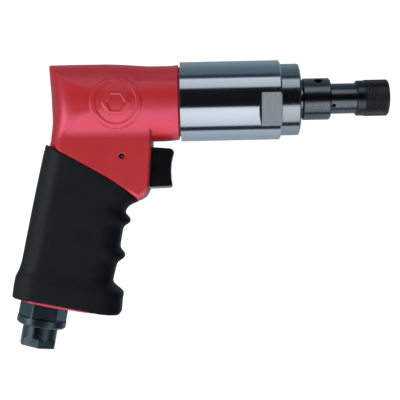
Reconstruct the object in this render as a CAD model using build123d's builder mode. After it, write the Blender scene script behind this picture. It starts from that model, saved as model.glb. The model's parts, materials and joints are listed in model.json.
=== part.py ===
"""Pistol-grip pneumatic screwdriver: vane motor, one-stage planetary gear, push-to-start jaw clutch
with a torque spring, and a quick-change hexagon chuck.

Frame: millimetres. +X runs forward along the spindle, +Z is up, Y is across the tool. The origin
is on the spindle axis, in the joint face between the motor housing and the clutch housing.
Handle coordinates: "down" runs down the handle axis from the origin, "forward" is square to it.

Prefixes: X_ a station along the spindle, Z_ a height, R_ a radius. A pair is (rear, front).
"""
from build123d import *
import math
import os

os.makedirs("parts", exist_ok=True)

# ------------------------------------------------------------------ driving dimensions
TILT = 12.0                   # handle axis leans back by this angle, degrees

R_BODY = 22.0                 # motor housing outside radius
R_BARREL = 22.25              # clutch housing outside radius
R_NECK = 20.4                 # top of the housing neck
X_REAR = -73.8                # back of the motor housing
TAIL_DEPTH = 14.0             # depth of the rounded tail in plan
CHEEK = 15.2                  # half-width of the housing below the motor
R_BLEND = 12.0                # fillet between the round body and the flat sides

R_MOTOR = 17.8                # motor bore in the housing
R_MOTOR_FIT = R_MOTOR - 0.03  # outside radius of the parts in the motor bore
X_MOTOR = -63.5               # rear end of the motor bore
X_PLATE_R = (-63.4, -56.4)    # rear end plate
X_PLATE_F = (-24.4, -17.4)    # front end plate
X_CYL = (X_PLATE_R[1], X_PLATE_F[0])  # motor cylinder
X_RING = (X_PLATE_F[1], 8.9)  # ring gear sleeve
R_CYL_BORE = 14.0             # eccentric bore
ECCENTRICITY = 1.3            # bore centre above the axis
R_ROTOR = 12.6
N_VANES = 5
DOWEL_DROP = 15.2             # timing dowel, below the axis
R_DOWEL = 1.0
R_DOWEL_HOLE = R_DOWEL + 0.02

GEAR_MODULE = 0.65
SUN_TEETH, PLANET_TEETH, RING_TEETH = 12, 18, 48
PRESSURE_ANGLE = 25.0
BACKLASH = 0.07               # taken from each tooth's thickness, mm
R_ORBIT = GEAR_MODULE * (SUN_TEETH + PLANET_TEETH) / 2
X_GEAR = (-15.4, -5.6)        # planet gear width

BARREL_L = 55.5
R_SPIGOT = 19.4               # threaded spigot on the motor housing
X_SPIGOT = 8.6
FLAT_DIST = 20.15             # wrench flat distance from the axis
FLAT_CLOCK = 20.0             # flats are turned about X from facing +Y and -Y, degrees
X_FLAT = 44.5
R_CAP = 20.1
X_CAP = 66.5

R_SPINDLE = 8.5
X_CHUCK = 67.9
R_COLLAR = 11.7
X_COLLAR = 83.8
R_CHUCK = 8.5
X_CHUCK_END = 115.0
HEX_AF = 6.45                 # 1/4 inch hexagon socket with clearance
X_SLEEVE = (98.4, 116.5)
R_SLEEVE = 10.2

Z_TRIG = -36.8                # trigger and throttle axis height
X_SEAT = -47.0                # rear face of the throttle bushing
X_PORT = -42.8                # air port from the throttle bore to the motor
X_SEALS = -29.1               # middle of both throttle sealing rings
PIN_X, PIN_Z = -32.8, -30.5   # cross pin that holds the throttle bushing
R_PIN = 1.5

INLET_FORWARD = -54.0         # inlet axis
EXHAUST_FORWARD = -33.0       # exhaust chamber axis
CORE_END = 125.8              # inlet seat on the lower end of the metal handle
GRIP_END = 125.9              # lower end of the rubber, before it is cut on the slant

# rounded rectangles across the handle: length forward, width across, corner radius
CHAMBER = (15.0, 20.0, 5.0)
DEFLECTOR_SEAT = (16.6, 23.2, 6.0)

# upper edge of the rubber on the painted housing, (x, z), rear to front
RUBBER_EDGE = [
    (-76.2, -22.2), (-71.5, -24.9), (-60.2, -31.1), (-51.0, -36.4), (-40.6, -42.5), (-31.5, -48.8),
    (-27.6, -52.1), (-24.0, -55.5),
]


# ------------------------------------------------------------------ planes and points
def handle_point(down, forward):
    """Handle coordinates to (x, z)."""
    s, c = math.sin(math.radians(TILT)), math.cos(math.radians(TILT))
    return (-down * s + forward * c, -down * c - forward * s)


def handle_plane(down, forward=0.0):
    """Plane square to the handle axis: local x runs forward, the normal runs down the handle."""
    s, c = math.sin(math.radians(TILT)), math.cos(math.radians(TILT))
    x, z = handle_point(down, forward)
    return Plane(origin=(x, 0, z), x_dir=(c, 0, -s), z_dir=(-s, 0, -c))


def inlet_plane(down):
    return handle_plane(down, INLET_FORWARD)


def exhaust_plane(down):
    return handle_plane(down, EXHAUST_FORWARD)


def x_plane(x, y=0.0, z=0.0):
    """Plane square to the spindle axis: local x is +Y, local y is +Z, the normal is +X."""
    return Plane(origin=(x, y, z), x_dir=(0, 1, 0), z_dir=(1, 0, 0))


def throttle_plane(x):
    return x_plane(x, 0, Z_TRIG)


def up_plane(x, z):
    return Plane(origin=(x, 0, z), z_dir=(0, 0, 1))


def pin_plane(y):
    """Plane on the cross pin's axis, facing -Y."""
    return Plane(origin=(PIN_X, y, PIN_Z), x_dir=(1, 0, 0), z_dir=(0, -1, 0))


def radial_plane(x, angle, distance=0.0):
    """Plane facing away from the spindle axis; the angle runs from +Y towards +Z."""
    a = math.radians(angle)
    return Plane(origin=(x, 0, 0), x_dir=(1, 0, 0), z_dir=(0, math.cos(a), math.sin(a))).offset(distance)


def polar(radius, angle):
    return (radius * math.cos(math.radians(angle)), radius * math.sin(math.radians(angle)))


# ------------------------------------------------------------------ shapes for the open part
def rod(plane, radius, length, bore=0.0, mode=Mode.ADD):
    """Disc or tube standing on a plane."""
    with BuildSketch(plane) as section:
        Circle(radius)
        if bore:
            Circle(bore, mode=Mode.SUBTRACT)
    extrude(section.sketch, amount=length, mode=mode)


def drill(plane, radius, depth):
    rod(plane, radius, depth, mode=Mode.SUBTRACT)


def turn_down(plane, radius, length, blank):
    """Cuts away everything between the radius and the blank's radius."""
    rod(plane, blank, length, bore=radius, mode=Mode.SUBTRACT)


def outline(points, plane=Plane.XZ):
    with BuildSketch(plane) as shape:
        with BuildLine():
            Polyline(*points, close=True)
        make_face()
    return shape.sketch


def slab(points, half_width, mode=Mode.ADD, plane=Plane.XZ):
    """Outline carried to both sides of its plane."""
    extrude(outline(points, plane), amount=half_width, both=True, mode=mode)


def turned(points):
    """(x, r) outline revolved about the spindle axis."""
    revolve(outline(points), axis=Axis.X)


def rounded(size, clearance=0.0):
    """Rounded rectangle in the open sketch, smaller all round by the clearance."""
    length, width, corner = size
    RectangleRounded(length - 2 * clearance, width - 2 * clearance, corner - clearance)


# ------------------------------------------------------------------ whole parts
def save(part, name):
    part.label = name
    export_step(part, f"parts/{name}.step")


def save_coil(name, start, radius, wire, pitch, height):
    """Coil spring running forward from its start point."""
    with BuildPart() as coil:
        with BuildLine() as path:
            Helix(pitch=pitch, height=height, radius=radius, center=start, direction=(1, 0, 0))
        with BuildSketch(Plane(origin=path.line @ 0, z_dir=path.line % 0)):
            Circle(wire)
        sweep()
    save(coil.part, name)


def save_throttle_seal(name, radius, cord):
    """O-ring about the throttle axis."""
    with BuildPart() as seal:
        with BuildSketch(Plane.XZ):
            with Locations((X_SEALS, Z_TRIG + radius)):
                Circle(cord)
        revolve(axis=Axis((0, 0, Z_TRIG), (1, 0, 0)))
    save(seal.part, name)


# ------------------------------------------------------------------ motor housing
# side outline of the painted upper housing, (x, z)
SIDE_OUTLINE = [
    (X_REAR + 0.9, 22.0), (-40, 22.0), (-33, 21.8), (-26, 21.4), (-20, 21.4), (0, 21.4),
    (0, -21.4), (-4, -21.9), (-14.9, -22.1), (-16.3, -23.4), (-16.6, -27), (-17.1, -33.3),
    (-17.7, -39.1), (-18.3, -46.3), (-18.5, -50.2), (-19.4, -52.0), (-20.8, -53.3), (-22.6, -54.4),
    *reversed(RUBBER_EDGE), (-74.2, -20.9), (-73.35, -17.6), (-72.85, -14.2), (-72.5, -10.8),
    (-72.4, -7.4), (-72.55, -1.0), (-72.85, 6.1), (-73.25, 12.9), (-73.65, 19.7),
]
X_CHEEK_END = -16.6           # front end of the flat-sided body
BADGE_RAISE = 0.55
BADGE_CENTRE = (-34.9, -2.4)  # (x, z)
X_BAND = -4.2                 # start of the turned band ahead of the neck
R_BAND = 21.1
R_THROTTLE = 7.0              # throttle bore
BEYOND = 60                   # radius outside everything
DROP = 40                     # depth of the flat-sided part of the body section


def body_prism(x, length, grow=0.0):
    """Round motor body running through large fillets into flat sides below."""
    with BuildPart(mode=Mode.PRIVATE) as prism:
        with BuildSketch(x_plane(x)) as section:
            Circle(R_BODY + grow)
            with Locations((0, -DROP)):
                Rectangle(2 * (CHEEK + grow), 2 * DROP)
            inner_corners = [v for v in section.vertices() if -30 < v.Y < -5 and abs(v.X) < 20]
            fillet(inner_corners, R_BLEND - grow)
        extrude(amount=length)
    return prism.part


with BuildPart() as upper:
    add(body_prism(-80, 80 + X_CHEEK_END))
    rod(x_plane(-20), R_BODY, 20)
    slab(SIDE_OUTLINE, 40, Mode.INTERSECT)
    # rounded tail in plan
    with BuildSketch(Plane.XY):
        with Locations((X_REAR + TAIL_DEPTH, 0)):
            Ellipse(TAIL_DEPTH + 1.9, R_BODY + 0.1)
        with Locations((40 + X_REAR + TAIL_DEPTH, 0)):
            Rectangle(80, 60)
    extrude(amount=90, both=True, mode=Mode.INTERSECT)

# metal core of the handle, under the rubber
with BuildPart() as core:
    with BuildSketch(handle_plane(26, -44.4)):
        RectangleRounded(46.0, 26.0, 11.0)
    extrude(amount=102)
    # lower end cut 2 degrees off square, with a flat seat for the inlet
    core_cut = [(126.6, -72), (124.8, -15), (140, -15), (140, -72)]  # (down, forward)
    slab([handle_point(*p) for p in core_cut], 30, Mode.SUBTRACT)
    drill(inlet_plane(CORE_END), 14.1, 10)

# shallow relief over the neck, outside the neck radius
with BuildPart() as neck_relief:
    with BuildSketch(Plane.XZ):
        with Locations((-13.1, 21.4)):
            RectangleRounded(19.2, 20, 4.0)
    extrude(amount=40, both=True)
    drill(x_plane(-30), R_NECK, 40)

# raised ring and hexagon, following both cheeks
with BuildPart() as badge:
    with BuildSketch(Plane.XZ):
        with Locations(BADGE_CENTRE):
            Circle(14.0)
            Circle(11.2, mode=Mode.SUBTRACT)
            RegularPolygon(7.6, 6)
            RegularPolygon(5.4, 6, mode=Mode.SUBTRACT)
    extrude(amount=30, both=True)
    add(body_prism(-60, 50, BADGE_RAISE), mode=Mode.INTERSECT)

with BuildPart() as motor_housing:
    add(upper.part)
    add(core.part)
    add(neck_relief.part, mode=Mode.SUBTRACT)
    # front band, then the threaded spigot
    turn_down(x_plane(X_BAND), R_BAND, 5, blank=BEYOND)
    turn_down(x_plane(-1.0), R_SPIGOT, 5, blank=BEYOND)
    rod(x_plane(-4.0), R_SPIGOT, 4.0 + X_SPIGOT)
    add(badge.part)
    drill(x_plane(X_MOTOR), R_MOTOR, 90)
    # throttle bore and trigger pocket
    drill(throttle_plane(-68.0), R_THROTTLE, 55)
    slab([(-25.6, -24.9), (-10, -24.9), (-10, -49.1), (-25.6, -49.1)], 8.2, Mode.SUBTRACT)
    # cross hole for the throttle pin
    drill(pin_plane(30), R_PIN + 0.02, 60)
    # live air: inlet drilling up to the throttle bore, its counterbore, port up to the motor
    drill(inlet_plane(48), 6.5, 70)
    drill(inlet_plane(111.5), 10.5, 30)
    drill(up_plane(X_PORT, Z_TRIG), 3.0, 22)
    # exhaust: two drillings past the throttle, into the chamber that holds the muffler
    with BuildSketch(handle_plane(17.0)):
        with Locations((-25.0, 9.9), (-25.0, -9.9)):
            Circle(2.1)
    extrude(amount=60, mode=Mode.SUBTRACT)
    with BuildSketch(exhaust_plane(61)):
        rounded(CHAMBER)
    extrude(amount=80, mode=Mode.SUBTRACT)
    # seat of the exhaust deflector
    with BuildSketch(exhaust_plane(122.1)):
        rounded(DEFLECTOR_SEAT)
    extrude(amount=20, mode=Mode.SUBTRACT)
save(motor_housing.part, "motor_housing")

# ------------------------------------------------------------------ rubber grip
# front edge of the grip, (down, forward)
GRIP_FRONT = [
    (30, -12.0), (58.9, -12.4), (60, -14.0), (61.5, -16.0), (62.9, -17.35), (64.2, -18.25),
    (65.5, -18.7), (66.55, -18.6), (67.5, -17.8), (68.5, -16.6), (69.4, -15.8), (70.5, -15.4),
    (71.7, -15.6), (73, -16.4), (74.3, -17.6), (75.6, -18.26), (77.9, -18.4), (82.4, -18.4),
    (84.7, -18.2), (86.9, -17.55), (88.8, -15.55), (89.8, -14.95), (90.9, -14.8), (92.1, -15.14),
    (93.5, -16.36), (94.8, -17.4), (96.1, -18.04), (98.4, -18.4), (103, -18.5), (105.3, -18.5),
    (107.3, -17.17), (109.1, -14.5), (109.9, -12.9), (110.9, -12.1), (113, -11.6), (115.3, -11.4),
    (119.8, -11.0), (130, -10.9),
]
# rear edge of the grip, (down, forward)
GRIP_REAR = [
    (30, -69.6), (39.7, -69.7), (44.3, -70.0), (53.5, -70.2), (62.7, -70.4), (76, -70.6),
    (90, -70.7), (104, -70.8), (106, -71.0), (108.4, -71.4), (110.8, -72.1), (113.3, -72.6),
    (120, -72.5), (130, -72.4),
]
# half-width of the grip, (down, half-width)
GRIP_HALF = [
    (30, 16.6), (40, 16.6), (60, 16.5), (80, 16.2), (104, 16.2), (110, 17.4), (114, 17.9),
    (130, 17.9),
]
# loft stations down the handle
GRIP_STATIONS = [
    31, 40, 50, 58, 60.5, 62.5, 64.5, 66.5, 68, 69.5, 71, 73, 75, 77.5, 83, 86, 88.4, 90, 91.8,
    94, 96.5, 104, 106.5, 108.5, 110.2, 112.5, 116, GRIP_END,
]
# cut across the lower end, (down, forward)
GRIP_SLANT = [
    (125.5, -80), (125.2, -66), (124.4, -52), (124.2, -30), (123.6, -14), (123.2, -5), (140, -5),
    (140, -80),
]
SECTION_POINTS = 32
SECTION_POWER = 2.9           # superellipse exponent


def lerp(table, down):
    """Straight-line interpolation in a list of (down, value)."""
    if down <= table[0][0]:
        return table[0][1]
    for (a, value_a), (b, value_b) in zip(table, table[1:]):
        if down <= b:
            return value_a + (value_b - value_a) * (down - a) / (b - a)
    return table[-1][1]


def grip_section(down):
    """Points of the grip outline, (forward, across), as a superellipse."""
    front, rear, half = lerp(GRIP_FRONT, down), lerp(GRIP_REAR, down), lerp(GRIP_HALF, down)
    middle, reach = (front + rear) / 2, (front - rear) / 2
    power = 2.0 / SECTION_POWER
    points = []
    for k in range(SECTION_POINTS):
        t = 2 * math.pi * k / SECTION_POINTS
        c, s = math.cos(t), math.sin(t)
        points.append((middle + reach * math.copysign(abs(c) ** power, c),
                       half * math.copysign(abs(s) ** power, s)))
    return points


with BuildPart() as grip_sleeve:
    for station in GRIP_STATIONS:
        with BuildSketch(handle_plane(station)):
            with BuildLine():
                Spline(*grip_section(station), periodic=True)
            make_face()
    loft(ruled=True)
    # upper edge follows the painted housing
    slab([*reversed(RUBBER_EDGE), (-95, -19.0), (-95, 30), (20, 30), (20, -62), (-17, -62)],
         40, Mode.SUBTRACT)
    # upper rear corner
    slab([(-77.6, -27.8), (-79.0, -20.0), (-75.2, -20.0), (-75.7, -23.0), (-76.6, -24.2)],
         40, Mode.SUBTRACT)
    slab([handle_point(*p) for p in GRIP_SLANT], 40, Mode.SUBTRACT)
    add(core.part, mode=Mode.SUBTRACT)
save(grip_sleeve.part, "grip_sleeve")

# ------------------------------------------------------------------ trigger and throttle
# side outline of the trigger, (x, z)
TRIGGER_OUTLINE = [
    (-19.4, -25.55), (-15.3, -25.55), (-6.6, -26.3), (-4.9, -26.9), (-4.4, -28.2), (-5.2, -30.8),
    (-5.85, -33.8), (-6.25, -36.8), (-6.38, -39.7), (-6.25, -42.7), (-5.9, -45.3), (-5.7, -46.9),
    (-6.5, -48), (-8, -48.2), (-19.4, -48.45),
]
TRIGGER_HALF = 7.6
X_TRIGGER_CUT = -19.5         # cuts start just behind the trigger
R_STEM = 2.5
R_STEM_THIN = 1.9             # rear of the stem, and its seal groove
R_AIR = 3.9                   # air chamber in the bushing
R_WASHER = 5.7                # washer seat in the bushing

with BuildPart() as trigger_button:
    slab(TRIGGER_OUTLINE, TRIGGER_HALF)
    front_edges = [
        e for e in trigger_button.edges().filter_by(
            lambda e: abs(abs(e.center().Y) - TRIGGER_HALF) < 1e-3 and e.center().X > -18.5)
    ]
    # guards against the chamfer failing on the short edges; the edges then stay sharp
    try:
        chamfer(front_edges, 1.1)
    except Exception:
        pass
    # hollow back and boss for the stem
    with BuildSketch(throttle_plane(X_TRIGGER_CUT)):
        RectangleRounded(11.6, 18.6, 2.0)
        Circle(4.4, mode=Mode.SUBTRACT)
    extrude(amount=7.5, mode=Mode.SUBTRACT)
    drill(throttle_plane(X_TRIGGER_CUT), R_STEM, 6.5)
save(trigger_button.part, "trigger_button")

with BuildPart() as trigger_stem:
    rod(throttle_plane(X_SEAT - 0.1), R_STEM_THIN, -32.0 - X_SEAT)
    rod(throttle_plane(-33.2), R_STEM, 33.2 - 13.0)
    turn_down(throttle_plane(X_SEALS - 0.8), R_STEM_THIN, 1.6, blank=4)
save(trigger_stem.part, "trigger_stem")

save_throttle_seal("stem_o_ring", radius=2.28, cord=0.36)

with BuildPart() as throttle_bushing:
    rod(throttle_plane(X_SEAT), R_THROTTLE - 0.04, -25.8 - X_SEAT, bore=2.72)
    # air chamber behind the stem guide
    drill(throttle_plane(X_SEAT), R_AIR, 8.0)
    # port to the motor
    drill(up_plane(X_PORT, Z_TRIG), 2.3, 9)
    # groove for the sealing ring
    turn_down(throttle_plane(X_SEALS - 1.0), 5.45, 2.0, blank=9)
    # notch the cross pin sits in
    drill(pin_plane(12), R_PIN + 0.06, 24)
    # seat for the sealing washer
    drill(throttle_plane(X_SEAT - 0.1), R_WASHER, 1.5)
save(throttle_bushing.part, "throttle_bushing")

with BuildPart() as valve_seat:
    rod(throttle_plane(X_SEAT), R_WASHER - 0.04, 1.35, bore=R_AIR)
save(valve_seat.part, "valve_seat_washer")

# poppet: disc and a short tail that guides the spring
with BuildPart() as throttle_valve:
    rod(throttle_plane(X_SEAT - 2.9), 5.2, 2.78)
    fillet(throttle_valve.edges().filter_by(GeomType.CIRCLE).sort_by(Axis.X)[-1], 0.8)
    rod(throttle_plane(X_SEAT - 7.5), 2.6, 4.7)
save(throttle_valve.part, "throttle_valve")

save_coil("throttle_spring", (-67.3, 0, Z_TRIG), radius=4.0, wire=0.55, pitch=3.0, height=16.3)

# slotted spring pin across the housing
PIN_HALF = 14.2
with BuildPart() as throttle_pin:
    with BuildSketch(pin_plane(PIN_HALF)):
        Circle(R_PIN)
        Circle(0.8, mode=Mode.SUBTRACT)
        with Locations((0, 1.2)):
            Rectangle(0.35, 1.6, mode=Mode.SUBTRACT)
    extrude(amount=2 * PIN_HALF)
save(throttle_pin.part, "throttle_spring_pin")

save_throttle_seal("bushing_o_ring", radius=6.22, cord=0.74)

# ------------------------------------------------------------------ air inlet
R_INLET_FLANGE = 13.8
SCREEN_TOP = 113.0            # closed end of the strainer, down the handle

with BuildPart() as inlet_bushing:
    rod(inlet_plane(112.5), 10.42, 127.6 - 112.5)
    with BuildSketch(inlet_plane(CORE_END + 0.1)):
        RegularPolygon(11.9, 6, major_radius=False, rotation=48)
        Circle(13.5, mode=Mode.INTERSECT)
    extrude(amount=134.1 - CORE_END - 0.1)
    rod(inlet_plane(134.0), R_INLET_FLANGE, 4.1)
    flange_edges = inlet_bushing.edges().filter_by(GeomType.CIRCLE).filter_by(
        lambda e: abs(e.radius - R_INLET_FLANGE) < 1e-3)
    chamfer(flange_edges.sort_by(Axis.Z)[0], 1.0)
    rod(inlet_plane(138.0), 9.7, 7.2)
    with BuildSketch(inlet_plane(145.1)):
        RegularPolygon(9.3, 6, major_radius=False, rotation=76)
        Circle(10.35, mode=Mode.INTERSECT)
    extrude(amount=4.7)
    # groove for the sealing ring
    turn_down(inlet_plane(123.4), 8.9, 2.2, blank=12)
    # threaded bore, through bore and strainer seat
    drill(inlet_plane(135.8), 5.75, 20)
    drill(inlet_plane(112), 4.6, 30)
    drill(inlet_plane(112), 6.9, 14)
save(inlet_bushing.part, "inlet_bushing")

with BuildPart() as inlet_o_ring:
    with BuildSketch(inlet_plane(124.5)):
        Circle(10.46)
        Circle(8.95, mode=Mode.SUBTRACT)
    extrude(amount=0.75, both=True)
    fillet(inlet_o_ring.edges().filter_by(GeomType.CIRCLE), 0.6)
save(inlet_o_ring.part, "inlet_o_ring")

# thimble strainer: thin wall with drilled holes, closed top, and rim
with BuildPart() as inlet_screen:
    rod(inlet_plane(SCREEN_TOP), 5.6, 12.8)
    rod(inlet_plane(124.6), 6.8, 1.2)
    drill(inlet_plane(SCREEN_TOP + 0.8), 4.9, 14)
    for row in range(3):
        level = inlet_plane(116.2 + 2.6 * row)
        for k in range(8):
            a = math.radians(45 * k + 22.5 * (row % 2))
            outward = level.x_dir * math.cos(a) + level.y_dir * math.sin(a)
            drill(Plane(origin=level.origin, z_dir=outward), 0.7, 8)
save(inlet_screen.part, "inlet_strainer")

# ------------------------------------------------------------------ exhaust
R_SCREW = 1.24
DEFLECTOR_TOP = 122.2         # inner face of the deflector, down the handle

with BuildPart() as muffler:
    with BuildSketch(exhaust_plane(96.1)):
        rounded(CHAMBER, clearance=0.3)
        Circle(1.6, mode=Mode.SUBTRACT)
    extrude(amount=26.0)
save(muffler.part, "exhaust_muffler")

with BuildPart() as deflector:
    with BuildSketch(exhaust_plane(DEFLECTOR_TOP)):
        rounded(DEFLECTOR_SEAT, clearance=0.1)
    extrude(amount=2.7)
    with BuildSketch(exhaust_plane(122)):
        with Locations((0, 5.6), (0, 8.4), (0, -5.6), (0, -8.4)):
            SlotOverall(11.0, 1.6)
    extrude(amount=10, mode=Mode.SUBTRACT)
    # screw hole and its counterbore
    drill(exhaust_plane(122), 1.75, 10)
    drill(exhaust_plane(DEFLECTOR_TOP + 1.5), 3.1, 10)
save(deflector.part, "exhaust_deflector")

# cross bar inside the exhaust chamber that the deflector screw pulls against
with BuildPart() as deflector_bracket:
    with BuildSketch(exhaust_plane(92.0)):
        rounded(CHAMBER, clearance=0.05)
        with Locations((0, 6.4), (0, -6.4)):
            Circle(3.2, mode=Mode.SUBTRACT)
        Circle(R_SCREW + 0.01, mode=Mode.SUBTRACT)
    extrude(amount=3.9)
save(deflector_bracket.part, "exhaust_bracket")

with BuildPart() as deflector_screw:
    rod(exhaust_plane(93.0), R_SCREW, 31)
    rod(exhaust_plane(123.75), 2.9, 1.5)
    with BuildSketch(exhaust_plane(124.2)):
        RegularPolygon(1.25, 6, major_radius=False)
    extrude(amount=3, mode=Mode.SUBTRACT)
save(deflector_screw.part, "deflector_screw")

# ------------------------------------------------------------------ air motor
R_SHAFT_R, R_SHAFT_F = 3.5, 4.98   # rotor shaft, rear and front
X_SUN_END = -4.2
R_BEARING = 9.5               # outside of both motor bearings


def end_plate(name, ends, pocket, shaft_hole):
    """End plate with a bearing pocket, given as (rear, front), and a clearance hole."""
    with BuildPart() as plate:
        rod(x_plane(ends[0]), R_MOTOR_FIT, ends[1] - ends[0], bore=shaft_hole)
        drill(x_plane(pocket[0]), R_BEARING + 0.02, pocket[1] - pocket[0])
        # two round ports below the axis, and the dowel hole
        with BuildSketch(x_plane(ends[0])):
            with Locations(polar(12.6, 222), polar(12.6, 318)):
                Circle(1.3)
            with Locations((0, -DOWEL_DROP)):
                Circle(R_DOWEL_HOLE)
        extrude(amount=ends[1] - ends[0], mode=Mode.SUBTRACT)
    save(plate.part, name)


end_plate("rear_end_plate", X_PLATE_R, (X_PLATE_R[0] - 0.1, X_PLATE_R[0] + 6.0), shaft_hole=4.2)
end_plate("front_end_plate", X_PLATE_F, (X_PLATE_F[1] - 5.0, X_PLATE_F[1] + 0.1), shaft_hole=5.7)

with BuildPart() as motor_cylinder:
    with BuildSketch(x_plane(X_CYL[0] + 0.02)):
        Circle(R_MOTOR_FIT)
        with Locations((0, ECCENTRICITY)):
            Circle(R_CYL_BORE, mode=Mode.SUBTRACT)
        with Locations((0, -DOWEL_DROP)):
            Circle(R_DOWEL_HOLE, mode=Mode.SUBTRACT)
    extrude(amount=X_CYL[1] - X_CYL[0] - 0.04)
    # exhaust: a row of radial holes on each lower side, joined outside by a milled flat
    for angle in (218, 322):
        with BuildSketch(radial_plane(0, angle, 10)):
            with Locations(*[(-49.0 + 6.2 * k, 0) for k in range(4)]):
                Circle(1.7)
        extrude(amount=12, mode=Mode.SUBTRACT)
        with BuildSketch(radial_plane(-39.9, angle, 16.7)):
            Rectangle(24.0, 9.0)
        extrude(amount=4, mode=Mode.SUBTRACT)
    # live air in at the port, on each side of the dowel
    with BuildSketch(Plane.XY.offset(-30)):
        with Locations((X_PORT, 2.9), (X_PORT, -2.9)):
            Circle(1.5)
    extrude(amount=20, mode=Mode.SUBTRACT)
save(motor_cylinder.part, "motor_cylinder")

with BuildPart() as dowel:
    rod(x_plane(X_PLATE_R[0] + 0.4, 0, -DOWEL_DROP), R_DOWEL, X_PLATE_F[1] - X_PLATE_R[0] - 0.8)
save(dowel.part, "timing_dowel")


def gear_outline(teeth, turn=0.0, internal=False, addendum=0.9, dedendum=1.2, steps=6):
    """Closed involute outline as (x, y) points.

    One tooth (or, for a ring, one tooth space) is centred on the turn angle, in degrees.
    """
    alpha = math.radians(PRESSURE_ANGLE)
    r_pitch = GEAR_MODULE * teeth / 2
    r_base = r_pitch * math.cos(alpha)
    if internal:
        r_inner, r_outer = r_pitch - addendum * GEAR_MODULE, r_pitch + dedendum * GEAR_MODULE
        half = math.pi / (2 * teeth) + BACKLASH / (2 * r_pitch)
    else:
        r_inner, r_outer = r_pitch - dedendum * GEAR_MODULE, r_pitch + addendum * GEAR_MODULE
        half = math.pi / (2 * teeth) - BACKLASH / (2 * r_pitch)

    def involute(a):
        return math.tan(a) - a

    flank = []                # (radius, half-angle of the tooth there)
    r_start = max(r_base, r_inner)
    for i in range(steps + 1):
        r = r_start + (r_outer - r_start) * i / steps
        a = math.acos(min(1.0, r_base / r))
        flank.append((r, half + involute(alpha) - involute(a)))
    if r_inner < r_base - 1e-6:
        flank.insert(0, (r_inner, flank[0][1]))
    points = []
    for k in range(teeth):
        middle = 2 * math.pi * k / teeth + math.radians(turn)
        for r, h in flank:
            points.append((r * math.cos(middle - h), r * math.sin(middle - h)))
        for r, h in reversed(flank):
            points.append((r * math.cos(middle + h), r * math.sin(middle + h)))
    return points


def vane_rectangles(middle, length, width, mode=Mode.ADD):
    """One radial rectangle per vane in the open sketch, its middle at the given radius."""
    for k in range(N_VANES):
        with Locations(Location((0, 0, 0), (0, 0, 90 + 360 * k / N_VANES))):
            with Locations((middle, 0)):
                Rectangle(length, width, mode=mode)


# rotor, shaft and sun pinion in one piece
with BuildPart() as rotor:
    with BuildSketch(x_plane(X_CYL[0] + 0.08)):
        Circle(R_ROTOR)
        vane_rectangles(R_ROTOR - 3.7, 8.0, 1.8, mode=Mode.SUBTRACT)
    extrude(amount=X_CYL[1] - X_CYL[0] - 0.16)
    rod(x_plane(-63.2), R_SHAFT_R, 8)
    rod(x_plane(-24.6), R_SHAFT_F, 24.6 - 16.4)
    with BuildSketch(x_plane(-16.5)):
        with BuildLine():
            Polyline(*gear_outline(SUN_TEETH), close=True)
        make_face()
    extrude(amount=16.5 + X_SUN_END)
save(rotor.part, "rotor")

VANE_LENGTH = 6.6
with BuildPart() as vanes:
    with BuildSketch(x_plane(X_CYL[0] + 0.25)):
        vane_rectangles(R_ROTOR - 0.25 - VANE_LENGTH / 2, VANE_LENGTH, 1.66)
    extrude(amount=X_CYL[1] - X_CYL[0] - 0.5)
save(vanes.part, "rotor_vanes")

# ------------------------------------------------------------------ ball bearings
R_JOURNAL = 7.5               # bore of the carrier bearing


def bearing(name, x0, x1, r_inner, r_outer, n_balls):
    """Deep-groove ball bearing as outer race, inner race and balls."""
    r_middle, x_middle = (r_inner + r_outer) / 2, (x0 + x1) / 2
    thickness = r_outer - r_inner
    r_ball = thickness * 0.27
    land = thickness * 0.15   # race edge's distance from the ball circle

    def race(suffix, r_low, r_high):
        with BuildPart() as body:
            with BuildSketch(Plane.XZ):
                with Locations((x_middle, (r_low + r_high) / 2)):
                    Rectangle(x1 - x0, r_high - r_low)
                with Locations((x_middle, r_middle)):
                    Circle(r_ball + 0.02, mode=Mode.SUBTRACT)
            revolve(axis=Axis.X)
        save(body.part, f"{name}_{suffix}")

    race("outer_race", r_middle + land, r_outer)
    race("inner_race", r_inner, r_middle - land)
    with BuildPart() as balls:
        for k in range(n_balls):
            a = 2 * math.pi * k / n_balls
            with Locations((x_middle, r_middle * math.cos(a), r_middle * math.sin(a))):
                Sphere(r_ball)
    save(balls.part, f"{name}_balls")


bearing("rear_bearing", X_PLATE_R[0] + 0.05, X_PLATE_R[0] + 5.95, R_SHAFT_R + 0.01, R_BEARING, 7)
bearing("front_bearing", X_PLATE_F[1] - 4.95, X_PLATE_F[1] - 0.05, R_SHAFT_F + 0.02, R_BEARING, 9)
bearing("carrier_bearing", 1.0, 8.8, R_JOURNAL, 15.98, 9)

# ------------------------------------------------------------------ planetary gear
PLANET_ANGLES = [90, 210, 330]
PLANET_CENTRES = [polar(R_ORBIT, angle) for angle in PLANET_ANGLES]
GEAR_WIDTH = X_GEAR[1] - X_GEAR[0]
R_PLANET_PIN = 2.25
R_BUSH = 3.0

# sleeve, bored out in front for the carrier and its bearing, with internal teeth at the rear
with BuildPart() as ring_gear:
    rod(x_plane(X_RING[0] + 0.02), R_MOTOR_FIT, X_RING[1] - X_RING[0] - 0.04, bore=16.5)
    rod(x_plane(-3.6), 17.0, X_RING[1] - 0.02 + 3.6, bore=16.0)
    with BuildSketch(x_plane(X_RING[0] + 0.9)):
        Circle(17.0)
        with BuildLine():
            Polyline(*gear_outline(RING_TEETH, 90 + 180 / RING_TEETH, internal=True), close=True)
        make_face(mode=Mode.SUBTRACT)
    extrude(amount=12.9)
save(ring_gear.part, "ring_gear")

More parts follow.
